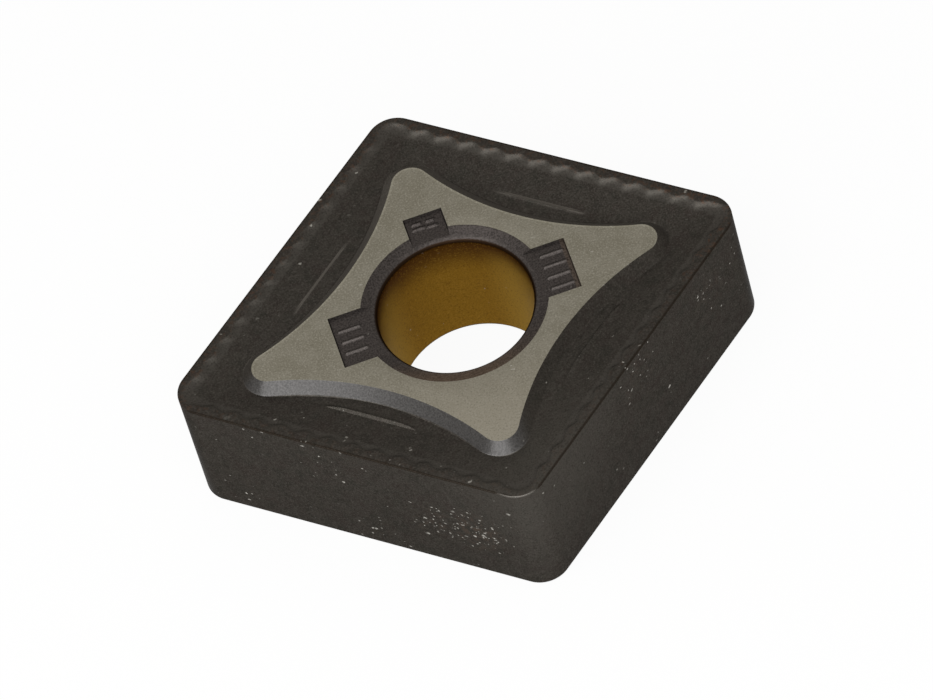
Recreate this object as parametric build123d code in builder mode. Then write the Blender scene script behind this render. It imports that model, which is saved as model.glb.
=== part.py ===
from build123d import *
from math import cos, radians, sin, sqrt, tan
import os

# Double-sided turning insert, pressed and sintered as one piece of coated carbide.
# The origin is on the bore axis in the lower seat plane, with +X along the long
# diagonal. Lengths are in millimetres and angles in degrees.

# Body
inscribed_circle = 15.875
nose_angle = 80.0
corner_radius = 1.2
thickness = 6.35
seat_rise = 0.10
edge_hone = 0.05

# Bore and its flared mouths
bore_diameter = 6.35
mouth_width = 0.665
mouth_angle = 20.0
mouth_round = 0.25

# Flat land, scalloped step and rake inside the cutting edge
scallop_land = 0.33
scallop_count = 12
scallop_pitch = 1.05
scallop_radius = 0.95
step_angle = 30.0
step_depth = 0.15
step_nose_radius = 0.55
groove_inset = 2.03
groove_depth = 0.37
groove_nose_radius = 0.60

# Star-shaped seat plateau
long_tip_setback = 3.80
short_tip_setback = 3.17
long_tip_radius = 0.70
short_tip_radius = 0.78
flank_radius = 12.4
plateau_wall_angle = 45.0

# Low pad between the groove and each hollow flank, with a top that falls inward
pad_length = 4.4
pad_height = 0.085
pad_end_run = 1.10
pad_front_angle = 30.0
pad_back_angle = 4.0
pad_reach = 1.30

# Bare recessed windows beside the bore
window_depth = 0.14
window_draft = 20.0
side_window_width = 2.58
side_window_reach = 1.16
end_window_width = 1.64
end_window_reach = 0.90

# How far a cutter or a joined form runs past the face that it meets
overlap = 0.20

# Sizes that follow from the ones above
half_angle = radians(nose_angle / 2)
side_length = inscribed_circle / sin(2 * half_angle)
half_long = side_length * cos(half_angle)
half_short = side_length * sin(half_angle)
edge_z = thickness - seat_rise
floor_z = edge_z - groove_depth
bore_radius = bore_diameter / 2
mouth_radius = bore_radius + mouth_width
step_run = step_depth / tan(radians(step_angle))
cusp_depth = scallop_radius - sqrt(scallop_radius**2 - (scallop_pitch / 2) ** 2)
step_inset = scallop_land + cusp_depth

# One side's own directions. The straight part of a side isn't centred on the foot
# of the inscribed radius, because the two corners beside it differ.
along = Vector(-cos(half_angle), sin(half_angle), 0)
inward = Vector(-sin(half_angle), -cos(half_angle), 0)
corner_shift = side_length * cos(2 * half_angle)
fillet_shift = corner_radius * (1 / tan(half_angle) - tan(half_angle))
straight_shift = (corner_shift - fillet_shift) / 2


def on_side(inset, height):
    """Point over the middle of the side's straight part, inset from the wall."""
    return Vector(0, 0, height) - along * straight_shift - inward * (inscribed_circle / 2 - inset)


def rhombus(inset, radius):
    """Rounded rhombus whose sides are parallel to the walls and inset from them."""
    share = 1 - inset / (inscribed_circle / 2)
    corners = [(half_long, 0), (0, half_short), (-half_long, 0), (0, -half_short)]
    with BuildSketch() as outline:
        with BuildLine():
            Polyline(*[(x * share, y * share) for x, y in corners], close=True)
        make_face()
        fillet(outline.vertices(), radius)
    return outline.sketch


def toward(start, target, distance):
    """Point at a distance from start in the direction of target."""
    return start + (target - start).normalized() * distance


def plateau_outline(grow):
    """Star with rounded tips and hollow flanks, every arc moved outward by grow."""
    long_centre = Vector(half_long - long_tip_setback - long_tip_radius, 0)
    short_centre = Vector(0, half_short - short_tip_setback - short_tip_radius)
    # A flank's circle touches the circles of the two tips beside it from outside.
    to_long = flank_radius + long_tip_radius
    to_short = flank_radius + short_tip_radius
    base = (short_centre - long_centre).length
    base_dir = (short_centre - long_centre).normalized()
    lengthwise = (base**2 + to_long**2 - to_short**2) / (2 * base)
    sideways = sqrt(to_long**2 - lengthwise**2)
    outward = Vector(base_dir.Y, -base_dir.X)
    flank_centre = long_centre + base_dir * lengthwise + outward * sideways
    long_end = toward(long_centre, flank_centre, long_tip_radius + grow)
    short_end = toward(short_centre, flank_centre, short_tip_radius + grow)
    waist = toward(flank_centre, (long_end + short_end) * 0.5, flank_radius - grow)
    long_tip = long_centre.X + long_tip_radius + grow
    short_tip = short_centre.Y + short_tip_radius + grow
    with BuildSketch() as outline:
        with BuildLine():
            for sx in (1, -1):
                for sy in (1, -1):
                    ThreePointArc(*[(sx * p.X, sy * p.Y) for p in (long_end, waist, short_end)])
                ThreePointArc(
                    (sx * long_end.X, long_end.Y), (sx * long_tip, 0), (sx * long_end.X, -long_end.Y)
                )
            for sy in (1, -1):
                ThreePointArc(
                    (short_end.X, sy * short_end.Y), (0, sy * short_tip), (-short_end.X, sy * short_end.Y)
                )
        make_face()
    return outline.sketch


# Everything that is cut below the upper cutting edge: a step that starts at the
# land, the rake down to the groove's floor, and a row of scallops along each side.
with BuildPart() as groove:
    with BuildSketch(Plane.XY.offset(edge_z)):
        add(rhombus(step_inset, step_nose_radius))
    extrude(amount=overlap)
    with BuildSketch(Plane.XY.offset(edge_z)):
        add(rhombus(step_inset, step_nose_radius))
    with BuildSketch(Plane.XY.offset(edge_z - step_depth)):
        add(rhombus(step_inset + step_run, step_nose_radius))
    loft(ruled=True)
    with BuildSketch(Plane.XY.offset(edge_z - step_depth)):
        add(rhombus(step_inset + step_run, step_nose_radius))
    with BuildSketch(Plane.XY.offset(floor_z)):
        add(rhombus(groove_inset, groove_nose_radius))
    loft(ruled=True)

with BuildPart() as scallops:
    scallop_frame = Plane(on_side(scallop_land + scallop_radius, edge_z), x_dir=along, z_dir=(0, 0, 1))
    with Locations(scallop_frame):
        with GridLocations(scallop_pitch, 1, scallop_count, 1):
            Cone(
                bottom_radius=scallop_radius - step_run,
                top_radius=scallop_radius,
                height=step_depth,
                align=(Align.CENTER, Align.CENTER, Align.MAX),
            )
    mirror(about=Plane.XZ)
    mirror(about=Plane.YZ)

# Everything that stands up inside the groove: the seat plateau with its sloping
# wall, and a low pad in each hollow flank, crested along the groove's floor.
with BuildPart() as pads:
    front = inward * cos(radians(pad_front_angle)) + Vector(0, 0, 1) * sin(radians(pad_front_angle))
    back = inward * cos(radians(pad_back_angle)) - Vector(0, 0, 1) * sin(radians(pad_back_angle))
    front_plane = Plane(on_side(groove_inset, floor_z), x_dir=along, z_dir=along.cross(front))
    front_rise = pad_height / sin(radians(pad_front_angle))
    shoulder = pad_length / 2 - pad_end_run
    with BuildSketch(front_plane):
        with BuildLine():
            Polyline(
                (-pad_length / 2, -overlap),
                (-pad_length / 2, 0),
                (-shoulder, front_rise),
                (shoulder, front_rise),
                (pad_length / 2, 0),
                (pad_length / 2, -overlap),
                close=True,
            )
        make_face()
    extrude(amount=pad_reach, dir=back)
    mirror(about=Plane.XZ)
    mirror(about=Plane.YZ)

with BuildPart() as plateau:
    root_z = floor_z - overlap
    wall_run = (thickness - root_z) / tan(radians(plateau_wall_angle))
    with BuildSketch(Plane.XY.offset(root_z)):
        add(plateau_outline(wall_run))
    with BuildSketch(Plane.XY.offset(thickness)):
        add(plateau_outline(0))
    loft(ruled=True)

# The flare at the upper mouth of the bore, rounded where it turns into the wall.
with BuildPart() as mouth:
    mouth_drop = mouth_width * tan(radians(mouth_angle))
    rim_radius = mouth_radius + overlap / tan(radians(mouth_angle))
    with BuildSketch(Plane.XZ) as flare:
        with BuildLine():
            Polyline(
                (0, thickness + overlap),
                (rim_radius, thickness + overlap),
                (bore_radius, thickness - mouth_drop),
                (bore_radius, thickness / 2),
                (0, thickness / 2),
                close=True,
            )
        make_face()
        turn = flare.vertices().sort_by_distance((bore_radius, thickness - mouth_drop))[0]
        fillet(turn, mouth_round)
    revolve(axis=Axis.Z)

# Three windows that open into the flare: one at each end of the long diagonal and
# one at the +Y end of the short one.
with BuildPart() as windows:
    inner_edge = bore_radius - overlap
    with BuildSketch(Plane.XY.offset(thickness)):
        with Locations((inner_edge, 0)):
            side_depth = mouth_radius + side_window_reach - inner_edge
            Rectangle(side_depth, side_window_width, align=(Align.MIN, Align.CENTER))
        mirror(about=Plane.YZ)
        with Locations((0, inner_edge)):
            end_depth = mouth_radius + end_window_reach - inner_edge
            Rectangle(end_window_width, end_depth, align=(Align.CENTER, Align.MIN))
    extrude(amount=-window_depth, taper=window_draft)


def on_both_faces(form, mode):
    """Add or cut a form of the upper face, and its mirror image below."""
    upper = form.part
    add(upper, mode=mode)
    add(upper.mirror(Plane.XY.offset(thickness / 2)), mode=mode)


with BuildPart() as insert:
    with BuildSketch(Plane.XY.offset(seat_rise)):
        add(rhombus(0, corner_radius))
    extrude(amount=thickness - 2 * seat_rise)
    rims = insert.edges().group_by(Axis.Z)
    chamfer(rims[0] + rims[-1], edge_hone)
    on_both_faces(groove, Mode.SUBTRACT)
    on_both_faces(scallops, Mode.SUBTRACT)
    on_both_faces(plateau, Mode.ADD)
    on_both_faces(pads, Mode.ADD)
    on_both_faces(mouth, Mode.SUBTRACT)
    on_both_faces(windows, Mode.SUBTRACT)

os.makedirs("parts", exist_ok=True)
insert.part.label = "insert"
export_step(insert.part, "parts/insert.step")
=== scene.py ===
from math import cos, pi, radians, sin, sqrt, tan

import bmesh
import bpy
import numpy as np
from mathutils import Matrix, Vector


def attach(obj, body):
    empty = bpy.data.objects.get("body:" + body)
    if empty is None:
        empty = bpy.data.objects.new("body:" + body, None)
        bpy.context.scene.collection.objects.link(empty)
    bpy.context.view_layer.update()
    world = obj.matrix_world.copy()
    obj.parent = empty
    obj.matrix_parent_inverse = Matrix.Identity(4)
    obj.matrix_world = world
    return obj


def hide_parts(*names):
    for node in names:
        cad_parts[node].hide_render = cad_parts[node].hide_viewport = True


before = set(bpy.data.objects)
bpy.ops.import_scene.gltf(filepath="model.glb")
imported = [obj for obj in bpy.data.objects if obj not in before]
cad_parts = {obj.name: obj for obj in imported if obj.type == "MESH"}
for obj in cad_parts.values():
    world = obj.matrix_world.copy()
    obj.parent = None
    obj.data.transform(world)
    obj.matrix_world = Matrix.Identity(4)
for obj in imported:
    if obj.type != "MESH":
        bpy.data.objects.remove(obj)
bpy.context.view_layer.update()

MM = 0.001

# The body, in millimetres and degrees
INSCRIBED_CIRCLE = 15.875
NOSE_ANGLE = 80.0
CORNER_RADIUS = 1.2
THICKNESS = 6.35
SEAT_RISE = 0.10
EDGE_HONE = 0.05

# Bore and its flared mouths
BORE_RADIUS = 3.175
MOUTH_RADIUS = 3.84
MOUTH_ANGLE = 20.0
MOUTH_ROUND = 0.25

# Land, scalloped step, rake and groove floor
SCALLOP_LAND = 0.33
SCALLOP_COUNT = 12
SCALLOP_PITCH = 1.05
SCALLOP_RADIUS = 0.95
STEP_ANGLE = 30.0
STEP_DEPTH = 0.15
STEP_NOSE_RADIUS = 0.55
GROOVE_INSET = 2.03
GROOVE_DEPTH = 0.37
GROOVE_NOSE_RADIUS = 0.60

# The step is hollow: steeper under the land and easing towards the rake
STEP_TOP_ANGLE = 34.0
STEP_FOOT_ANGLE = 16.0

# Star-shaped seat plateau
LONG_TIP_SETBACK = 3.80
SHORT_TIP_SETBACK = 3.17
LONG_TIP_RADIUS = 0.70
SHORT_TIP_RADIUS = 0.78
FLANK_RADIUS = 12.4
PLATEAU_WALL_ANGLE = 45.0

# Low pad in each hollow flank: a sloping front, a narrow ridge and a top that falls inward
PAD_LENGTH = 4.4
PAD_HEIGHT = 0.085
PAD_FRONT_ANGLE = 30.0
PAD_RIDGE_ANGLE = 24.0
PAD_RIDGE_DROP = 0.028
PAD_BACK_ANGLE = 4.0

# How softly neighbouring surfaces run into each other, as a height
SOFT_STEP = 0.050
SOFT_FOOT = 0.014
SOFT_CREASE = 0.010

# Recessed windows beside the bore
WINDOW_DEPTH = 0.14
WINDOW_DRAFT = 20.0
SIDE_WINDOW_WIDTH = 2.58
SIDE_WINDOW_END = MOUTH_RADIUS + 1.16
END_WINDOW_WIDTH = 1.64
END_WINDOW_END = MOUTH_RADIUS + 0.90
WINDOW_START = BORE_RADIUS - 0.20

# Plain round-topped bars on the floors of the upper windows, all along X. A bar is
# the middle of its core out from the bore and across the window, and half the core's
# length in both directions.
BAR_HEIGHT = 0.060
BAR_REACH = 0.12
BAR_PITCH = 0.56
RIGHT_BARS = [(4.34, (k - 1.5) * BAR_PITCH, 0.44, 0.0) for k in range(4)]
LEFT_BARS = [(4.30, (k - 1.0) * BAR_PITCH, 0.42, 0.0) for k in range(3)]
END_BARS = [
    (4.44, 0.34, 0.0, 0.15),
    (4.18, 0.30, 0.0, 0.22),
    (4.42, -0.24, 0.0, 0.12),
    (4.12, -0.26, 0.0, 0.18),
]

# Sizes that follow from the ones above
HALF_ANGLE = radians(NOSE_ANGLE / 2)
SIN, COS = sin(HALF_ANGLE), cos(HALF_ANGLE)
APOTHEM = INSCRIBED_CIRCLE / 2
SIDE_LENGTH = INSCRIBED_CIRCLE / sin(2 * HALF_ANGLE)
HALF_LONG = SIDE_LENGTH * COS
HALF_SHORT = SIDE_LENGTH * SIN
LONG_NOSE_CENTRE = HALF_LONG - CORNER_RADIUS / SIN
SHORT_NOSE_CENTRE = HALF_SHORT - CORNER_RADIUS / COS
MIDDLE = THICKNESS / 2
EDGE_Z = THICKNESS - SEAT_RISE
STEP_RUN = STEP_DEPTH / tan(radians(STEP_ANGLE))
CUSP_DEPTH = SCALLOP_RADIUS - sqrt(SCALLOP_RADIUS**2 - (SCALLOP_PITCH / 2) ** 2)
STEP_INSET = SCALLOP_LAND + CUSP_DEPTH
RAKE_START = STEP_INSET + STEP_RUN
RAKE_SLOPE = (GROOVE_DEPTH - STEP_DEPTH) / (GROOVE_INSET - RAKE_START)

# Along a side, the straight part runs between the two rounded corners. Its middle
# isn't the foot of the inscribed radius, because the corners differ.
ACUTE_END = -SIDE_LENGTH * COS**2 + CORNER_RADIUS / tan(HALF_ANGLE)
OBTUSE_END = SIDE_LENGTH * SIN**2 - CORNER_RADIUS * tan(HALF_ANGLE)
STRAIGHT_MIDDLE = (ACUTE_END + OBTUSE_END) / 2
ROW_LENGTH = SCALLOP_COUNT * SCALLOP_PITCH

# How many points a ring of the mesh has along each part of the outline
STATIONS_PER_SCALLOP = 12
MARGIN_STATIONS = 6
ACUTE_STATIONS = 12
OBTUSE_STATIONS = 10

# Where the rings of the mesh lie. The hone's are turns in degrees, the step's are
# distances inward of its upper edge, and the groove's are insets from the walls.
HONE_TURNS = (22.5, 45.0, 67.5, 90.0)
STEP_RINGS = (
    -0.12, -0.07, -0.035, -0.01, 0.015, 0.045, 0.08, 0.12, 0.16, 0.20, 0.235, 0.27, 0.32
)
STEP_REACH = 1.08
GROOVE_RINGS = (
    1.02, 1.18, 1.40, 1.65, 1.88, 1.97, 2.01, 2.04,
    2.07, 2.10, 2.13, 2.16, 2.19, 2.22, 2.26, 2.33,
)
RING_GAP = 0.012
FOOT_SHARES = (0.4, 0.75)
FOOT_RINGS = (-0.10, -0.05, -0.015, 0.015, 0.05)
WALL_SHARES = (0.35, 0.7)
FLARE_SHARES = (0.12, 0.5, 0.88)
ROUND_RINGS = 7
BORE_RING_DROP = 0.25

HALVINGS = 34
WINDOW_OVERRUN = 0.10
BAR_FINENESS = 0.035
SLIVER = 0.0002
SHARP_ANGLE = 22.0


def soft_min(a, b, softness):
    """The lower of two heights, rounded where they cross."""
    near = np.maximum(softness - np.abs(a - b), 0) / softness
    return np.minimum(a, b) - near * near * softness / 4


def soft_max(a, b, softness):
    """The higher of two heights, rounded where they cross."""
    return -soft_min(-a, -b, softness)


def side_inset(x, y):
    """Distance inside the nearest of the four walls, were the noses sharp."""
    return APOTHEM - (np.abs(x) * SIN + np.abs(y) * COS)


def side_place(x, y):
    """Place along the nearest side, from the long nose towards the short one."""
    return -np.abs(x) * COS + np.abs(y) * SIN


def rounded_inset(x, y, nose_radius):
    """Inset of the rounded rhombus through a point, with noses of that radius."""
    x, y = np.abs(x), np.abs(y)
    near = side_inset(x, y)
    past_long_nose = APOTHEM - (x * SIN - y * COS)
    past_short_nose = APOTHEM - (y * COS - x * SIN)
    inset = near
    for other, corner in (
        (past_long_nose, 2 * HALF_ANGLE),
        (past_short_nose, pi - 2 * HALF_ANGLE),
    ):
        c = cos(corner)
        mean = (near + other) / 2
        arc = (nose_radius * sin(corner)) ** 2
        rest = (near**2 + other**2 + 2 * near * other * c - arc) / (2 * (1 + c))
        centre = mean + np.sqrt(np.maximum(mean**2 - rest, 0))
        on_nose = np.abs(other - near) < nose_radius * (1 + c)
        inset = np.where(on_nose, np.minimum(inset, centre - nose_radius), inset)
    return inset


def flank_circle():
    """Centres of the +X and +Y tip circles, and of the flank circle that touches both."""
    long_tip = Vector((HALF_LONG - LONG_TIP_SETBACK - LONG_TIP_RADIUS, 0))
    short_tip = Vector((0, HALF_SHORT - SHORT_TIP_SETBACK - SHORT_TIP_RADIUS))
    to_long = FLANK_RADIUS + LONG_TIP_RADIUS
    to_short = FLANK_RADIUS + SHORT_TIP_RADIUS
    base = (short_tip - long_tip).length
    along = (short_tip - long_tip) / base
    lengthwise = (base**2 + to_long**2 - to_short**2) / (2 * base)
    outward = Vector((along.y, -along.x))
    flank = long_tip + along * lengthwise + outward * sqrt(to_long**2 - lengthwise**2)
    return long_tip, short_tip, flank


LONG_TIP, SHORT_TIP, FLANK = flank_circle()


def past_star(x, y):
    """Distance outside the star's outline, negative inside it."""
    x, y = np.abs(x), np.abs(y)
    from_long = np.hypot(x - LONG_TIP.x, y - LONG_TIP.y) - LONG_TIP_RADIUS
    from_short = np.hypot(x - SHORT_TIP.x, y - SHORT_TIP.y) - SHORT_TIP_RADIUS
    from_flank = FLANK_RADIUS - np.hypot(x - FLANK.x, y - FLANK.y)
    to_flank = FLANK - LONG_TIP
    at_long = to_flank.x * (y - LONG_TIP.y) - to_flank.y * (x - LONG_TIP.x) < 0
    to_flank = FLANK - SHORT_TIP
    at_short = to_flank.x * (y - SHORT_TIP.y) - to_flank.y * (x - SHORT_TIP.x) > 0
    return np.where(at_long, from_long, np.where(at_short, from_short, from_flank))


def past_step(x, y):
    """Distance inward of the step's upper edge. It waves along a side, out to the noses."""
    from_middle = np.abs(side_place(x, y) - STRAIGHT_MIDDLE)
    from_middle = np.minimum(from_middle, (ROW_LENGTH + SCALLOP_PITCH) / 2)
    bulge = CUSP_DEPTH * (1 - np.cos(2 * pi * from_middle / SCALLOP_PITCH)) / 2
    return rounded_inset(x, y, STEP_NOSE_RADIUS) - STEP_INSET + bulge


def step_height(x, y):
    """Height over the cutting edge of the land and of the hollow step inside it."""
    steep, easy = tan(radians(STEP_TOP_ANGLE)), tan(radians(STEP_FOOT_ANGLE))
    bend = (steep * STEP_RUN - STEP_DEPTH) / STEP_RUN**2
    hollow_run = (steep - easy) / (2 * bend)
    inward = past_step(x, y)
    hollow = np.minimum(inward, hollow_run)
    fall = steep * hollow - bend * hollow**2 + easy * (inward - hollow)
    return soft_min(0.0, -fall, SOFT_STEP)


def pad_height(x, y):
    """Height over the cutting edge of the low pad: front slope, narrow ridge, falling top."""
    inset = side_inset(x, y)
    from_middle = (side_place(x, y) - STRAIGHT_MIDDLE) / (PAD_LENGTH / 2)
    crown = PAD_HEIGHT * (1 - from_middle**4)
    front = (inset - GROOVE_INSET) * tan(radians(PAD_FRONT_ANGLE))
    past_crest = inset - GROOVE_INSET - crown / tan(radians(PAD_FRONT_ANGLE))
    ridge = crown - past_crest * tan(radians(PAD_RIDGE_ANGLE))
    top = crown - PAD_RIDGE_DROP - past_crest * tan(radians(PAD_BACK_ANGLE))
    height = soft_min(front, soft_max(ridge, top, SOFT_CREASE / 2), SOFT_CREASE) - GROOVE_DEPTH
    return np.where(crown > 0, height, -1.0)


def groove_height(x, y):
    """Height over the cutting edge of the land, the step, the rake, the floor and the pads."""
    rake = -STEP_DEPTH - RAKE_SLOPE * (rounded_inset(x, y, GROOVE_NOSE_RADIUS) - RAKE_START)
    height = soft_max(step_height(x, y), soft_max(rake, -GROOVE_DEPTH, SOFT_STEP), SOFT_STEP)
    return soft_max(height, pad_height(x, y), SOFT_CREASE)


def wall_height(x, y):
    """Height over the cutting edge of the plateau's sloping wall, carried on past its ends."""
    return SEAT_RISE - past_star(x, y) * tan(radians(PLATEAU_WALL_ANGLE))


def face_height(x, y):
    """Height over the cutting edge of the whole upper face outside the plateau's outline."""
    return soft_max(groove_height(x, y), wall_height(x, y), SOFT_FOOT)


def quadrant_outline():
    """The wall's outline from the +X nose to the +Y nose, with its outward directions."""
    side_normal = pi / 2 - HALF_ANGLE
    points, normals = [], []
    for k in range(ACUTE_STATIONS):
        turn = side_normal * k / ACUTE_STATIONS
        normals.append((cos(turn), sin(turn)))
        points.append((LONG_NOSE_CENTRE + CORNER_RADIUS * cos(turn), CORNER_RADIUS * sin(turn)))
    row = np.linspace(-ROW_LENGTH / 2, ROW_LENGTH / 2, SCALLOP_COUNT * STATIONS_PER_SCALLOP + 1)
    row = row + STRAIGHT_MIDDLE
    places = np.concatenate([
        np.linspace(ACUTE_END, row[0], MARGIN_STATIONS + 1)[:-1],
        row,
        np.linspace(row[-1], OBTUSE_END, MARGIN_STATIONS + 1)[1:-1],
    ])
    for place in places:
        normals.append((SIN, COS))
        points.append((APOTHEM * SIN - place * COS, APOTHEM * COS + place * SIN))
    for k in range(OBTUSE_STATIONS):
        turn = side_normal + (pi / 2 - side_normal) * k / OBTUSE_STATIONS
        normals.append((cos(turn), sin(turn)))
        points.append((CORNER_RADIUS * cos(turn), SHORT_NOSE_CENTRE + CORNER_RADIUS * sin(turn)))
    return np.array(points), np.array(normals)


def outline():
    """The whole outline anticlockwise from the +X nose, with its outward directions."""
    points, normals = quadrant_outline()
    points = np.vstack([points, (0.0, SHORT_NOSE_CENTRE + CORNER_RADIUS)])
    normals = np.vstack([normals, (0.0, 1.0)])
    points = np.vstack([points, points[-2::-1] * (-1, 1)])
    normals = np.vstack([normals, normals[-2::-1] * (-1, 1)])
    points = np.vstack([points, points[-2:0:-1] * (1, -1)])
    normals = np.vstack([normals, normals[-2:0:-1] * (1, -1)])
    return points, normals


def crossing(start, direction, low, high, function, level):
    """Distance along each ray at which a rising function reaches a level."""
    low = np.full(len(start), low, float)
    high = np.broadcast_to(high, len(start)).astype(float)
    for _ in range(HALVINGS):
        middle = (low + high) / 2
        at = start + direction * middle[:, None]
        short = function(at[:, 0], at[:, 1]) < level
        low, high = np.where(short, middle, low), np.where(short, high, middle)
    return (low + high) / 2


def ring(points, heights):
    """One ring of the mesh: a point for each station, in the part's frame."""
    return np.column_stack([points, np.broadcast_to(heights, len(points))])


def face_ring(points):
    """A ring that lies on the upper face."""
    return ring(points, EDGE_Z + face_height(points[:, 0], points[:, 1]))


def land_rings(points, inward):
    """Rings from the middle of the wall over the honed edge, the land and the step."""
    rings = [ring(points, MIDDLE), ring(points, EDGE_Z - EDGE_HONE)]
    for turn in np.radians(HONE_TURNS):
        at = points + inward * EDGE_HONE * (1 - cos(turn))
        rings.append(ring(at, EDGE_Z - EDGE_HONE * (1 - sin(turn))))
    for level in STEP_RINGS:
        distance = crossing(points, inward, EDGE_HONE, STEP_REACH, past_step, level)
        rings.append(face_ring(points + inward * distance[:, None]))
    return rings


def inside_star(x, y):
    """Distance inside the star's outline."""
    return -past_star(x, y)


def wall_over_groove(x, y):
    """How much higher the plateau's wall is than the groove."""
    return wall_height(x, y) - groove_height(x, y)


def groove_inset(x, y):
    """Inset of the groove's rounded rhombus through a point."""
    return rounded_inset(x, y, GROOVE_NOSE_RADIUS)


def groove_rings(rim):
    """Rings from the end of the step across the rake and the pads, and up the plateau's wall."""
    reach = np.hypot(rim[:, 0], rim[:, 1])
    inward = -rim / reach[:, None]
    edge = crossing(rim, inward, 0.0, reach - MOUTH_RADIUS, inside_star, 0.0)
    foot = crossing(rim, inward, 0.0, edge, wall_over_groove, 0.0)
    before_foot = foot + FOOT_RINGS[0]
    after_foot = foot + FOOT_RINGS[-1]
    distances = []
    for k, level in enumerate(GROOVE_RINGS):
        last = before_foot - RING_GAP * (len(GROOVE_RINGS) - k)
        distance = crossing(rim, inward, 0.0, reach - MOUTH_RADIUS, groove_inset, level)
        distances.append(np.minimum(distance, last))
    start = distances[-1]
    distances += [start + (before_foot - start) * share for share in FOOT_SHARES]
    distances += [foot + step for step in FOOT_RINGS]
    distances += [after_foot + (edge - after_foot) * share for share in WALL_SHARES]
    distances.append(edge)
    rings = [face_ring(rim + inward * distance[:, None]) for distance in distances]
    rings[-1][:, 2] = THICKNESS
    return rings


def bore_rings(edge):
    """Rings from the plateau's edge over the seat, down the flare and round into the bore."""
    turn = np.arctan2(edge[:, 1], edge[:, 0])
    compass = np.column_stack([np.cos(turn), np.sin(turn)])
    rim = compass * MOUTH_RADIUS
    rings = [ring((edge + rim) / 2, THICKNESS), ring(rim, THICKNESS)]
    slope = radians(MOUTH_ANGLE)
    drop = (MOUTH_RADIUS - BORE_RADIUS) * tan(slope)
    # The round touches the flare and the bore wall, which meet at the end of the drop.
    tangent = MOUTH_ROUND * tan((pi / 2 - slope) / 2)
    centre_radius = BORE_RADIUS + MOUTH_ROUND
    centre_z = THICKNESS - drop - tangent
    flare_end = BORE_RADIUS + tangent * cos(slope)
    for share in FLARE_SHARES:
        radius = MOUTH_RADIUS + (flare_end - MOUTH_RADIUS) * share
        rings.append(ring(compass * radius, THICKNESS - (MOUTH_RADIUS - radius) * tan(slope)))
    for angle in np.linspace(pi / 2 + slope, pi, ROUND_RINGS):
        radius = centre_radius + MOUTH_ROUND * cos(angle)
        rings.append(ring(compass * radius, centre_z + MOUTH_ROUND * sin(angle)))
    rings.append(ring(compass * BORE_RADIUS, centre_z - BORE_RING_DROP))
    rings.append(ring(compass * BORE_RADIUS, MIDDLE))
    return rings


def body_mesh():
    """The whole solid as rings about the bore: the upper half, then its mirror image."""
    points, normals = outline()
    upper = land_rings(points, -normals)
    upper += groove_rings(upper[-1][:, :2])
    upper += bore_rings(upper[-1][:, :2])
    lower = [points * (1, 1, -1) + (0, 0, THICKNESS) for points in upper[-2:0:-1]]
    rings = np.array(upper + lower)
    rows, stations = rings.shape[:2]
    row, station = np.meshgrid(np.arange(rows), np.arange(stations), indexing="ij")
    here = row * stations
    after = (row + 1) % rows * stations
    beside = (station + 1) % stations
    faces = np.stack([here + station, here + beside, after + beside, after + station], axis=-1)
    mesh = bpy.data.meshes.new("insert_body")
    mesh.from_pydata((rings.reshape(-1, 3) * MM).tolist(), [], faces.reshape(-1, 4).tolist())
    return mesh


def bars_height(reach, place, bars):
    """Height of the bars over a window's floor."""
    height = np.zeros_like(reach)
    for middle_reach, middle_place, half_reach, half_place in bars:
        away = np.hypot(
            np.maximum(np.abs(reach - middle_reach) - half_reach, 0),
            np.maximum(np.abs(place - middle_place) - half_place, 0),
        )
        share = np.minimum(away / BAR_REACH, 1)
        height = np.maximum(height, BAR_HEIGHT * np.cos(share * pi / 2) ** 2)
    return height


def window_cutter(width, end, turn, bars, upper):
    """A window's hollow as a closed block whose lower face carries the raised bars."""
    depth = end - WINDOW_START
    shrink = WINDOW_DEPTH * tan(radians(WINDOW_DRAFT))
    spread = WINDOW_OVERRUN * tan(radians(WINDOW_DRAFT))
    columns = int(depth / BAR_FINENESS) if bars else 1
    rows = int(width / BAR_FINENESS) if bars else 1
    grid_u, grid_v = np.meshgrid(
        np.linspace(0.0, 1.0, columns + 1), np.linspace(-0.5, 0.5, rows + 1), indexing="ij"
    )
    floor_reach = WINDOW_START + shrink + grid_u * (depth - 2 * shrink)
    floor_place = grid_v * (width - 2 * shrink)
    height = bars_height(floor_reach, floor_place, bars)
    lid_reach = WINDOW_START - spread + grid_u * (depth + 2 * spread)
    lid_place = grid_v * (width + 2 * spread)
    layers = []
    for reach, place, z in (
        (floor_reach, floor_place, THICKNESS - WINDOW_DEPTH + height),
        (lid_reach, lid_place, np.full_like(height, THICKNESS + WINDOW_OVERRUN)),
    ):
        x = reach * cos(turn) - place * sin(turn)
        y = reach * sin(turn) + place * cos(turn)
        z = z if upper else THICKNESS - z
        layers.append(np.stack([x, y, z], axis=-1).reshape(-1, 3))
    total = (columns + 1) * (rows + 1)
    index = np.arange(total).reshape(columns + 1, rows + 1)
    cells = np.stack([index[:-1, :-1], index[1:, :-1], index[1:, 1:], index[:-1, 1:]], axis=-1)
    cells = cells.reshape(-1, 4)
    faces = cells[:, ::-1].tolist() + (cells + total).tolist()
    loop = np.concatenate([index[:-1, 0], index[-1, :-1], index[:0:-1, -1], index[0, :0:-1]])
    for a, b in zip(loop, np.roll(loop, -1)):
        faces.append([int(a), int(b), int(b) + total, int(a) + total])
    if not upper:
        faces = [face[::-1] for face in faces]
    return np.vstack(layers), faces


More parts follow.
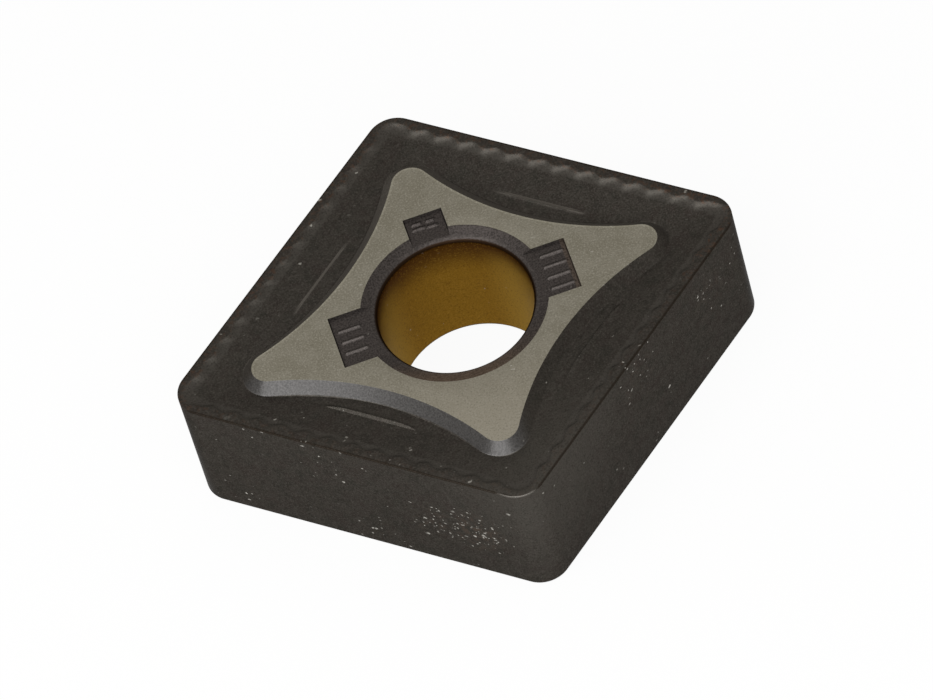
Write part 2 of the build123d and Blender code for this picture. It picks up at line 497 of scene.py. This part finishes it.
def window_cutters():
    """The three upper windows with bars on their floors, and the three bare lower ones."""
    vertices, faces = [], []
    for upper in (True, False):
        for width, end, turn, bars in (
            (SIDE_WINDOW_WIDTH, SIDE_WINDOW_END, 0.0, RIGHT_BARS),
            (SIDE_WINDOW_WIDTH, SIDE_WINDOW_END, pi, LEFT_BARS),
            (END_WINDOW_WIDTH, END_WINDOW_END, pi / 2, END_BARS),
        ):
            points, own_faces = window_cutter(width, end, turn, bars if upper else [], upper)
            offset = len(vertices)
            vertices.extend((points * MM).tolist())
            faces.extend([[k + offset for k in face] for face in own_faces])
    mesh = bpy.data.meshes.new("window_cutters")
    mesh.from_pydata(vertices, [], faces)
    return mesh


def add_object(name, data):
    """A new object that holds a mesh, a lamp or a camera, linked to the scene."""
    made = bpy.data.objects.new(name, data)
    bpy.context.scene.collection.objects.link(made)
    return made


def settle(made):
    """Replace an object's mesh by what its modifiers make of it."""
    graph = bpy.context.evaluated_depsgraph_get()
    mesh = bpy.data.meshes.new_from_object(made.evaluated_get(graph))
    made.modifiers.clear()
    made.data = mesh


def merge_slivers(mesh):
    """Take out the faces without area that the cut leaves where points nearly meet."""
    edit = bmesh.new()
    edit.from_mesh(mesh)
    bmesh.ops.dissolve_degenerate(edit, dist=SLIVER * MM, edges=edit.edges)
    edit.to_mesh(mesh)
    edit.free()


def make_insert():
    """The insert with its windows cut, smooth apart from its sharp edges."""
    made = add_object("carbide_insert", body_mesh())
    cutters = add_object("cutters", window_cutters())
    cut = made.modifiers.new("windows", "BOOLEAN")
    cut.operation = "DIFFERENCE"
    cut.solver = "EXACT"
    cut.object = cutters
    settle(made)
    bpy.data.objects.remove(cutters)
    merge_slivers(made.data)
    made.data.shade_smooth()
    made.data.set_sharp_from_angle(angle=radians(SHARP_ANGLE))
    weighted = made.modifiers.new("flat_faces_first", "WEIGHTED_NORMAL")
    weighted.keep_sharp = True
    settle(made)
    return made


class Socket:
    """An output of a shader node. Arithmetic on it adds Math nodes."""

    def __init__(self, shader, socket):
        self.shader = shader
        self.socket = socket

    def math(self, operation, *values):
        inputs = dict(enumerate(values))
        return self.shader.add("ShaderNodeMath", {"operation": operation}, inputs)

    def __add__(self, other):
        return self.math("ADD", self, other)

    def __sub__(self, other):
        return self.math("SUBTRACT", self, other)

    def __rsub__(self, other):
        return self.math("SUBTRACT", other, self)

    def __mul__(self, other):
        return self.math("MULTIPLY", self, other)

    __radd__ = __add__
    __rmul__ = __mul__

    def larger(self, other):
        return self.math("MAXIMUM", self, other)

    def size(self):
        return self.math("ABSOLUTE", self)

    def root(self):
        return self.math("SQRT", self)

    def between(self, low, high):
        """0 up to low, 1 from high on, and smooth in between."""
        values = {"Value": self, "From Min": low, "From Max": high}
        return self.shader.add("ShaderNodeMapRange", {"interpolation_type": "SMOOTHSTEP"}, values)

    def until(self, low, high):
        """1 up to low, 0 from high on, and smooth in between."""
        return 1 - self.between(low, high)


class Shader:
    """A material whose nodes are added by expressions and by one general method."""

    def __init__(self, name):
        self.material = bpy.data.materials.new(name)
        self.material.use_nodes = True
        self.tree = self.material.node_tree
        self.tree.nodes.clear()

    def add(self, kind, settings=None, inputs=None, output=0):
        """A node with its settings first, then the values or links of its inputs."""
        node = self.tree.nodes.new(kind)
        for name, value in (settings or {}).items():
            setattr(node, name, value)
        for name, value in (inputs or {}).items():
            if isinstance(value, Socket):
                self.tree.links.new(value.socket, node.inputs[name])
            else:
                node.inputs[name].default_value = value
        return Socket(self, node.outputs[output]) if node.outputs else None

    def place(self):
        """The point's own coordinates in millimetres, whole and as x, y and z."""
        point = self.add("ShaderNodeTexCoord", output="Object")
        scaled = self.add(
            "ShaderNodeVectorMath", {"operation": "SCALE"}, {0: point, "Scale": 1 / MM}
        )
        parts = [self.add("ShaderNodeSeparateXYZ", None, {0: scaled}, output=k) for k in range(3)]
        return scaled, *parts

    def distance(self, point, centre):
        """How far a point is from a centre."""
        inputs = {0: point, 1: centre}
        return self.add("ShaderNodeVectorMath", {"operation": "DISTANCE"}, inputs, output="Value")

    def noise(self, point, scale, detail, roughness):
        """Cloudy values round a half, with scale as the number of clouds to the millimetre."""
        inputs = {"Vector": point, "Scale": scale, "Detail": detail, "Roughness": roughness}
        return self.add("ShaderNodeTexNoise", None, inputs)

    def mix(self, factor, first, second):
        """One colour turning into another."""
        inputs = {0: factor, 6: first, 7: second}
        return self.add("ShaderNodeMix", {"data_type": "RGBA"}, inputs, output=2)

    def finish(self, surface):
        """The material, with that surface on it."""
        self.add("ShaderNodeOutputMaterial", None, {"Surface": surface})
        return self.material


def colour(red, green, blue):
    """A solid colour from its linear shares."""
    return red, green, blue, 1.0


# Dark coating
COAT_BLACK = colour(0.044, 0.041, 0.035)
COAT_BROWN = colour(0.050, 0.042, 0.037)
COAT_GREY = colour(0.058, 0.052, 0.045)
# The next colour is painted light for the coating near the -Y nose.
COAT_PAINTED_LIGHT = colour(0.084, 0.077, 0.067)
# The next colour is a painted highlight for the scalloped step.
COAT_STEP_HIGHLIGHT = colour(0.086, 0.079, 0.070)
# The next colour is painted light for the pads' sloping fronts on the +Y sides.
COAT_PAD_PAINTED_LIGHT = colour(0.105, 0.094, 0.082)
COAT_PALE_GRAIN = colour(0.092, 0.083, 0.073)
COAT_DARK_GRAIN = colour(0.024, 0.021, 0.017)
LAND_RUST = colour(0.105, 0.060, 0.040)
HONE_DARK = colour(0.022, 0.016, 0.011)
# The next colour is a painted highlight on the honed edge of the -Y nose.
HONE_HIGHLIGHT = colour(0.240, 0.225, 0.205)

# The plateau's sloping wall: painted light for the walls past the bore, which face away from the
# lamps, then a painted highlight for the lit band towards the -X and -Y tips
FAR_WALL_LIT_DARK = colour(0.066, 0.059, 0.051)
FAR_WALL_LIT_PALE = colour(0.098, 0.088, 0.077)
WALL_HIGHLIGHT_DARK = colour(0.076, 0.073, 0.072)
WALL_HIGHLIGHT_PALE = colour(0.124, 0.119, 0.117)

# Flare and windows
RECESS_DARK = colour(0.038, 0.033, 0.031)
RECESS_LIGHT = colour(0.096, 0.083, 0.078)
RECESS_BROWN_DARK = colour(0.085, 0.062, 0.046)
RECESS_BROWN_LIGHT = colour(0.185, 0.138, 0.106)
# The next colour is a painted highlight for a ring in the flare and for the bars' tops.
RECESS_HIGHLIGHT = colour(0.160, 0.142, 0.132)
FLARE_END = colour(0.024, 0.013, 0.007)

# Golden bore, with painted shade at the top and painted light deep down at the sides
GOLD_SHADED_TOP = colour(0.070, 0.028, 0.0028)
GOLD_DEEP = colour(0.225, 0.117, 0.0120)
GOLD_LIT_SIDES = colour(0.370, 0.222, 0.037)
GOLD_DARK_GRAIN = colour(0.060, 0.026, 0.003)
GOLD_PALE_GRAIN = colour(0.38, 0.22, 0.042)

# Bare ground seats
GROUND_DARK = colour(0.200, 0.184, 0.142)
GROUND_LIGHT = colour(0.232, 0.215, 0.171)
# The next colour is painted light for the seat near the -Y tip.
GROUND_PAINTED_LIGHT = colour(0.310, 0.282, 0.226)
GROUND_DARK_GRAIN = colour(0.150, 0.138, 0.107)
GROUND_PALE_GRAIN = colour(0.318, 0.296, 0.248)

# Wear. A patch is its centre, its reach and the share of spots that are worn there,
# and a size of speck is how many cells there are to the millimetre and the speck's
# width in one.
WORN_BROWN = colour(0.100, 0.074, 0.058)
SPECK_PALE = colour(0.58, 0.56, 0.51)
WORN_ANYWHERE = 0.015
WORN_PATCHES = (
    ((-2.2, -8.5, 2.9), 1.8, 0.85),
    ((-3.6, -7.3, 2.8), 1.6, 0.55),
    ((-10.0, -2.0, 1.0), 2.4, 0.07),
    ((-6.6, -4.6, 5.4), 2.2, 0.05),
    ((9.8, -2.1, 4.3), 1.8, 0.24),
    ((5.9, -5.4, 5.2), 1.7, 0.28),
    ((-7.0, -4.0, 6.0), 3.0, 0.06),
    ((-5.7, -5.3, 0.7), 1.9, 0.16),
)
SPECK_SIZES = ((2.0, 0.15), (4.2, 0.24), (7.5, 0.30))
SPECK_WANDER = (0.18, 0.18, 0.18)
SPECK_STRETCH = (0.6, 1, 1)

# Middles of the places with painted light near the -Y nose, on the coating and on the seat, and of
# the painted highlight on that nose's cutting edge
PAINTED_LIGHT_COAT_AT = (1.5, -HALF_SHORT, THICKNESS)
PAINTED_LIGHT_SEAT_AT = (-2.0, -HALF_SHORT, THICKNESS)
EDGE_HIGHLIGHT_AT = (-0.35, -9.93, 6.22)
NEAR_NOSE_CENTRE = (0.0, -SHORT_NOSE_CENTRE, EDGE_Z)

# Depths below the seat at which finishes change
HONE_FOOT = SEAT_RISE + EDGE_HONE
STEP_FOOT = SEAT_RISE + STEP_DEPTH

# The middle of the end window, out from the bore, and the field of bars on a side
# window's floor, from its middle both ways
END_WINDOW_MIDDLE = 3.9
BARS_MIDDLE = 4.36
BARS_HALF_LENGTH = 0.50
BARS_HALF_WIDTH = 1.12


def wear(s, point):
    """How worn the coating is round a point, and the pale specks and short scratches there."""
    wander = s.add("ShaderNodeTexNoise", None, {"Vector": point, "Scale": 6.0}, output="Color")
    wandered = {0: wander, 1: SPECK_WANDER, 2: point}
    moved = s.add("ShaderNodeVectorMath", {"operation": "MULTIPLY_ADD"}, wandered)
    stretched = {0: moved, 1: SPECK_STRETCH}
    drawn_out = s.add("ShaderNodeVectorMath", {"operation": "MULTIPLY"}, stretched)
    crowd = WORN_ANYWHERE
    for centre, reach, share in WORN_PATCHES:
        crowd = s.distance(point, centre).until(0.0, reach) * share + crowd
    specks = 0.0
    for scale, size in SPECK_SIZES:
        cells = {"Vector": drawn_out, "Scale": scale}
        away = s.add("ShaderNodeTexVoronoi", None, cells, output="Distance")
        chance = s.add("ShaderNodeTexVoronoi", None, cells, output="Color")
        luck, spread, strength = [
            s.add("ShaderNodeSeparateColor", None, {0: chance}, output=k) for k in range(3)
        ]
        width = spread * size + size * 0.5
        chosen = (crowd - luck).between(0.0, 0.02) * (strength * 0.7 + 0.3)
        specks = (chosen * away.until(width * 0.5, width)).larger(specks)
    return crowd, specks


def grained(s, grain, dark, light):
    """A colour that turns smoothly from dark to light with the grain."""
    return s.mix(grain.between(0.30, 0.70), dark, light)


def edge_highlight(s, point, below):
    """Where the painted highlight lies on the honed edge of the -Y nose."""
    from_centre = s.distance(point, NEAR_NOSE_CENTRE)
    on_hone = from_centre.between(CORNER_RADIUS - 0.06, CORNER_RADIUS - 0.03)
    near = s.distance(point, EDGE_HIGHLIGHT_AT).until(0.4, 1.0)
    return on_hone * near * below.until(HONE_FOOT - 0.01, HONE_FOOT + 0.02)


def coat_colour(s, point, grain, x, y, below, inset):
    """Dark coating with painted light near the -Y nose, painted highlights on the step and on the
    -Y nose's honed edge, browner on the land and the hone.
    """
    cloud = s.noise(point, 2.6, 4.0, 0.7)
    tint = s.noise(point, 1.2, 4.0, 0.65)
    coat = s.mix(tint.between(0.38, 0.62), COAT_BLACK, COAT_BROWN)
    coat = s.mix(cloud.between(0.38, 0.62), coat, COAT_GREY)
    # Painted light: the coating is made lighter towards the -Y nose.
    front = s.distance(point, PAINTED_LIGHT_COAT_AT).until(1.5, 7.0)
    coat = s.mix(front * 0.6, coat, COAT_PAINTED_LIGHT)
    # Painted highlight: the step is made lighter, standing in for the highlights on its scallops.
    step = inset.between(0.28, 0.32) * inset.until(0.80, 0.95)
    step = step * below.between(SEAT_RISE + 0.002, SEAT_RISE + 0.020)
    step = step * below.until(STEP_FOOT - 0.01, STEP_FOOT + 0.02)
    coat = s.mix(step * 0.6, coat, COAT_STEP_HIGHLIGHT)
    coat = s.mix(grain.between(0.48, 0.72) * 0.8, coat, COAT_PALE_GRAIN)
    coat = s.mix(grain.until(0.32, 0.48) * 0.5, coat, COAT_DARK_GRAIN)
    land = below.until(SEAT_RISE + 0.02, SEAT_RISE + 0.08) * inset.until(0.45, 0.80)
    share = y.between(-4.0, 1.0) * 0.35 + x.between(8.0, 10.5) * 0.25 + 0.15
    rust = s.noise(point, 4.5, 4.0, 0.7).between(0.48, 0.66) * share
    coat = s.mix(land * rust, coat, LAND_RUST)
    hone = below.until(HONE_FOOT - 0.02, HONE_FOOT + 0.02) * inset.until(0.04, 0.12)
    coat = s.mix(hone * 0.75, coat, HONE_DARK)
    # Painted highlight: a pale arc on the honed edge of the -Y nose.
    return s.mix(edge_highlight(s, point, below) * 0.5, coat, HONE_HIGHLIGHT)


def wall_colour(s, grain, y, coat, highlight_band):
    """The plateau's sloping wall, with painted light on the walls past the bore, which face away
    from the lamps, and a pale grey painted highlight on the lit band towards the -X and -Y tips.
    """
    # Painted light: past the bore the wall takes a lighter colour than the coating.
    far_wall_painted_light = s.mix(y.between(-1.0, 1.5), coat, grained(s, grain, FAR_WALL_LIT_DARK, FAR_WALL_LIT_PALE))
    # Painted highlight: the lit band is painted pale grey.
    return s.mix(highlight_band, far_wall_painted_light, grained(s, grain, WALL_HIGHLIGHT_DARK, WALL_HIGHLIGHT_PALE))


def recess_colour(s, grain, x, y, below, window_end, bar_tops):
    """Purplish coating of the flare and the windows, with painted highlights on a thin ring at the
    flare's inner edge and on the bars' tops, and a dark brown ring above the bore.
    """
    recess = grained(s, grain, RECESS_DARK, RECESS_LIGHT)
    brown = grained(s, grain, RECESS_BROWN_DARK, RECESS_BROWN_LIGHT)
    near_side = y.until(-3.4, -1.6) * (1 - x.between(0.4, 2.6) * 0.8)
    recess = s.mix(near_side.larger(window_end * 0.5), recess, brown)
    # Painted highlights: a thin pale ring at the flare's inner edge and pale tops on the bars.
    rim = below.between(0.13, 0.17) * below.until(0.18, 0.21) * 0.12
    recess = s.mix(rim.larger(bar_tops * 0.3), recess, RECESS_HIGHLIGHT)
    return s.mix(below.between(0.19, 0.24), recess, FLARE_END)


def golden_colour(s, grain, x, z):
    """Thin golden coating of the bore, with painted shade making it orange-brown at the top and
    painted light making it yellower deep down at the sides.
    """
    depth = THICKNESS - z
    # Painted shade: the bore is darker towards its mouth.
    golden = s.mix(depth.between(0.4, 2.4), GOLD_SHADED_TOP, GOLD_DEEP)
    # Painted light: the bore is lighter and yellower deep down at its sides.
    sides = x.size().between(1.5, 3.1) * depth.between(0.2, 1.6)
    golden = s.mix(sides, golden, GOLD_LIT_SIDES)
    golden = s.mix(grain.until(0.32, 0.50) * 0.45, golden, GOLD_DARK_GRAIN)
    return s.mix(grain.between(0.50, 0.72) * 0.35, golden, GOLD_PALE_GRAIN)


def ground_colour(s, point, grain):
    """Bare ground carbide of the seat plateaus, with painted light making it a little brighter
    towards the -Y tip.
    """
    cloud = s.noise(point, 1.3, 4.0, 0.6)
    ground = s.mix(cloud.between(0.35, 0.65), GROUND_DARK, GROUND_LIGHT)
    # Painted light: the seat is made brighter towards the -Y tip.
    front = s.distance(point, PAINTED_LIGHT_SEAT_AT).until(3.0, 9.5)
    ground = s.mix(front * 0.85, ground, GROUND_PAINTED_LIGHT)
    ground = s.mix(grain.until(0.30, 0.48) * 0.6, ground, GROUND_DARK_GRAIN)
    return s.mix(grain.between(0.48, 0.72) * 0.9, ground, GROUND_PALE_GRAIN)


def past_plateau(s, x, y):
    """Distance outside the plateau's outline, from the circle of a tip or of the flank."""
    x, y = x.size(), y.size()
    folded = s.add("ShaderNodeCombineXYZ", None, {"X": x, "Y": y})
    past = FLANK_RADIUS - s.distance(folded, (*FLANK, 0.0))
    for tip, tip_radius, side in (
        (LONG_TIP, LONG_TIP_RADIUS, 1),
        (SHORT_TIP, SHORT_TIP_RADIUS, -1),
    ):
        across = (FLANK - tip) * side
        at_tip = ((x - tip.x) * across.y - (y - tip.y) * across.x).between(0.0, 0.01)
        past = past + at_tip * (s.distance(folded, (*tip, 0.0)) - tip_radius - past)
    return past


def far_pad_front(x, y, inset):
    """Where the sloping fronts of the pads on the +Y sides are."""
    past_middle = (y.size() * SIN - x.size() * COS - STRAIGHT_MIDDLE).size()
    front = inset.between(GROOVE_INSET - 0.02, GROOVE_INSET + 0.02) * inset.until(2.15, 2.19)
    return front * past_middle.until(PAD_LENGTH * 0.3, PAD_LENGTH * 0.5) * y.between(-0.5, 0.5)


def window_masks(x, y, below):
    """Where the windows are, and on the side ones the end at +X and the tops of the bars."""
    in_side = y.size().until(SIDE_WINDOW_WIDTH / 2 + 0.01, SIDE_WINDOW_WIDTH / 2 + 0.05)
    in_side = in_side * x.size().until(SIDE_WINDOW_END + 0.02, SIDE_WINDOW_END + 0.06)
    in_end = x.size().until(END_WINDOW_WIDTH / 2 + 0.01, END_WINDOW_WIDTH / 2 + 0.05)
    in_end = in_end * (y - END_WINDOW_MIDDLE).size().until(0.86, 0.90)
    in_window = in_side.larger(in_end) * below.until(0.16, 0.18)
    window_end = x.between(SIDE_WINDOW_END - 0.24, SIDE_WINDOW_END - 0.16) * in_window
    over_bars = y.size().until(BARS_HALF_WIDTH, BARS_HALF_WIDTH + 0.06)
    from_bars = (x.size() - BARS_MIDDLE).size()
    over_bars = over_bars * from_bars.until(BARS_HALF_LENGTH, BARS_HALF_LENGTH + 0.02)
    return in_window, window_end, in_side * over_bars * below.until(0.095, 0.125)


def coated_carbide():
    """Dark satin coating, bare ground seat plateaus and a golden bore."""
    s = Shader("coated_carbide")
    point, x, y, z = s.place()
    below = MIDDLE - (z - MIDDLE).size()
    radius = (x * x + y * y).root()
    inset = APOTHEM - (x.size() * SIN + y.size() * COS)
    beyond = past_plateau(s, x, y)
    grain = s.noise(point, 14.0, 3.0, 0.6)

    on_seat = below.until(0.002, 0.006)
    on_wall = beyond.between(-0.10, -0.05) * beyond.until(0.42, 0.47)
    on_pad_front = far_pad_front(x, y, inset)
    # Painted highlight: the lit band of the wall towards the -X and -Y tips, painted pale grey and
    # made a little smoother.
    highlight_band = y.until(-0.5, 0.2) * x.until(0.4, 1.2) * on_wall
    in_window, window_end, bar_tops = window_masks(x, y, below)
    in_mouth = radius.until(MOUTH_RADIUS - 0.02, MOUTH_RADIUS + 0.01)
    in_bore = radius.until(BORE_RADIUS + 0.03, BORE_RADIUS + 0.07) * below.between(0.30, 0.38)

    coat = coat_colour(s, point, grain, x, y, below, inset)
    base = s.mix(on_wall, coat, wall_colour(s, grain, y, coat, highlight_band))
    # Painted light: the pads' sloping fronts on the +Y sides, which face away from the lamps, are
    # made lighter.
    base = s.mix(on_pad_front, base, COAT_PAD_PAINTED_LIGHT)
    recess = recess_colour(s, grain, x, y, below, window_end, bar_tops)
    base = s.mix(in_mouth.larger(in_window), base, recess)
    base = s.mix(in_bore, base, golden_colour(s, grain, x, z))
    base = s.mix(on_seat, base, ground_colour(s, point, grain))
    crowd, specks = wear(s, point)
    mottled = crowd * s.noise(point, 3.0, 4.0, 0.7).between(0.48, 0.62)
    base = s.mix(mottled * 0.7, base, WORN_BROWN)
    specks = specks * (1 - in_bore * 0.4)
    base = s.mix(specks, base, SPECK_PALE)

    less_metallic = (on_wall * y.between(-1.0, 1.5)).larger(on_pad_front)
    metal = 0.80 - on_seat * 0.40 - in_bore * 0.10 - less_metallic * 0.60
    rough = 0.36 + grain * 0.16 + on_seat * 0.06 - highlight_band * 0.08
    bump = s.add("ShaderNodeBump", None, {
        "Strength": 0.35, "Distance": 0.010 * MM, "Height": grain + specks * 1.5
    })
    surface = s.add("ShaderNodeBsdfPrincipled", None, {
        "Base Color": base, "Metallic": metal, "Roughness": rough, "Normal": bump,
        "Specular IOR Level": 0.08, "Specular Tint": colour(0.35, 0.35, 0.35),
    })
    return s.finish(surface)


# The floor and the lights. A lamp is its name, its direction from the insert, its
# distance and its side in metres, and its power in watts.
FLOOR_HALF = 3.0
FLOOR_COLOUR = colour(0.92, 0.92, 0.92)
FLOOR_GLOW_SHARE = 0.94
SURROUNDINGS_COLOUR = colour(1.0, 0.97, 0.92)
SURROUNDINGS_STRENGTH = 0.50
LAMP_COLOUR = (0.97, 0.99, 1.0)
LAMPS = (
    ("front_left_lamp", (-0.30, -0.60, 0.74), 0.12, 0.125, 0.105),
    ("high_left_lamp", (-0.42, -0.10, 0.90), 0.20, 0.07, 0.046),
)

# The camera, in millimetres and degrees
CAMERA_PLACE = (-10.987, -216.933, 296.24)
CAMERA_ELEVATION = 53.465
CAMERA_AZIMUTH = -2.878
CAMERA_ROLL = -16.764
CAMERA_LENS = 350.0
CAMERA_SENSOR = 36.0


def pale_floor():
    """White floor that keeps a faint shadow and looks white to the eye and in reflections."""
    s = Shader("pale_floor")
    seen = s.add("ShaderNodeLightPath", output="Is Camera Ray")
    for name in ("Is Glossy Ray", "Is Transmission Ray"):
        seen = seen.larger(s.add("ShaderNodeLightPath", output=name))
    matt = s.add("ShaderNodeBsdfDiffuse", None, {"Color": FLOOR_COLOUR})
    glow = s.add("ShaderNodeEmission", None, {"Color": colour(1, 1, 1), "Strength": 1.0})
    surface = s.add("ShaderNodeMixShader", None, {0: seen * FLOOR_GLOW_SHARE, 1: matt, 2: glow})
    return s.finish(surface)


def make_floor():
    """A wide plain floor in the plane that the insert lies on."""
    mesh = bpy.data.meshes.new("floor")
    corners = [(x * FLOOR_HALF, y * FLOOR_HALF, 0) for x, y in ((-1, -1), (1, -1), (1, 1), (-1, 1))]
    mesh.from_pydata(corners, [], [(0, 1, 2, 3)])
    floor = add_object("floor", mesh)
    floor.data.materials.append(pale_floor())


def dim_surroundings():
    """An even dim light from all round, a little warmer than the lamps'."""
    world = bpy.data.worlds.new("surroundings")
    world.use_nodes = True
    bpy.context.scene.world = world
    even = world.node_tree.nodes["Background"]
    even.inputs["Color"].default_value = SURROUNDINGS_COLOUR
    even.inputs["Strength"].default_value = SURROUNDINGS_STRENGTH


def soft_lamp(name, direction, distance, side, power):
    """A square soft lamp at a distance in a direction from the insert, turned to face it."""
    light = bpy.data.lights.new(name, "AREA")
    light.size = side
    light.energy = power
    light.color = LAMP_COLOUR
    lamp = add_object(name, light)
    towards = Vector(direction).normalized()
    lamp.location = towards * distance
    lamp.rotation_euler = towards.to_track_quat("Z", "Y").to_euler()


def photo_camera():
    """Camera at the photograph's angle, from a fit to the insert's outline in it."""
    elevation, azimuth = radians(CAMERA_ELEVATION), radians(CAMERA_AZIMUTH)
    roll = radians(CAMERA_ROLL)
    back = Vector((sin(azimuth) * cos(elevation), -cos(azimuth) * cos(elevation), sin(elevation)))
    level = (-back).cross(Vector((0, 0, 1))).normalized()
    upright = level.cross(-back)
    right = level * cos(roll) + upright * sin(roll)
    up = upright * cos(roll) - level * sin(roll)
    data = bpy.data.cameras.new("photo_camera")
    data.lens = CAMERA_LENS
    data.sensor_width = CAMERA_SENSOR
    data.clip_start = 0.01
    data.clip_end = 10.0
    camera = add_object("photo_camera", data)
    turned = Matrix((right, up, back)).transposed().to_4x4()
    camera.matrix_world = Matrix.Translation(Vector(CAMERA_PLACE) * MM) @ turned
    bpy.context.scene.camera = camera


insert = make_insert()
insert.data.materials.append(coated_carbide())
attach(insert, "root")
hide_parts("insert")

make_floor()
dim_surroundings()
for lamp_facts in LAMPS:
    soft_lamp(*lamp_facts)
photo_camera()
bpy.context.scene.view_settings.view_transform = "Standard"
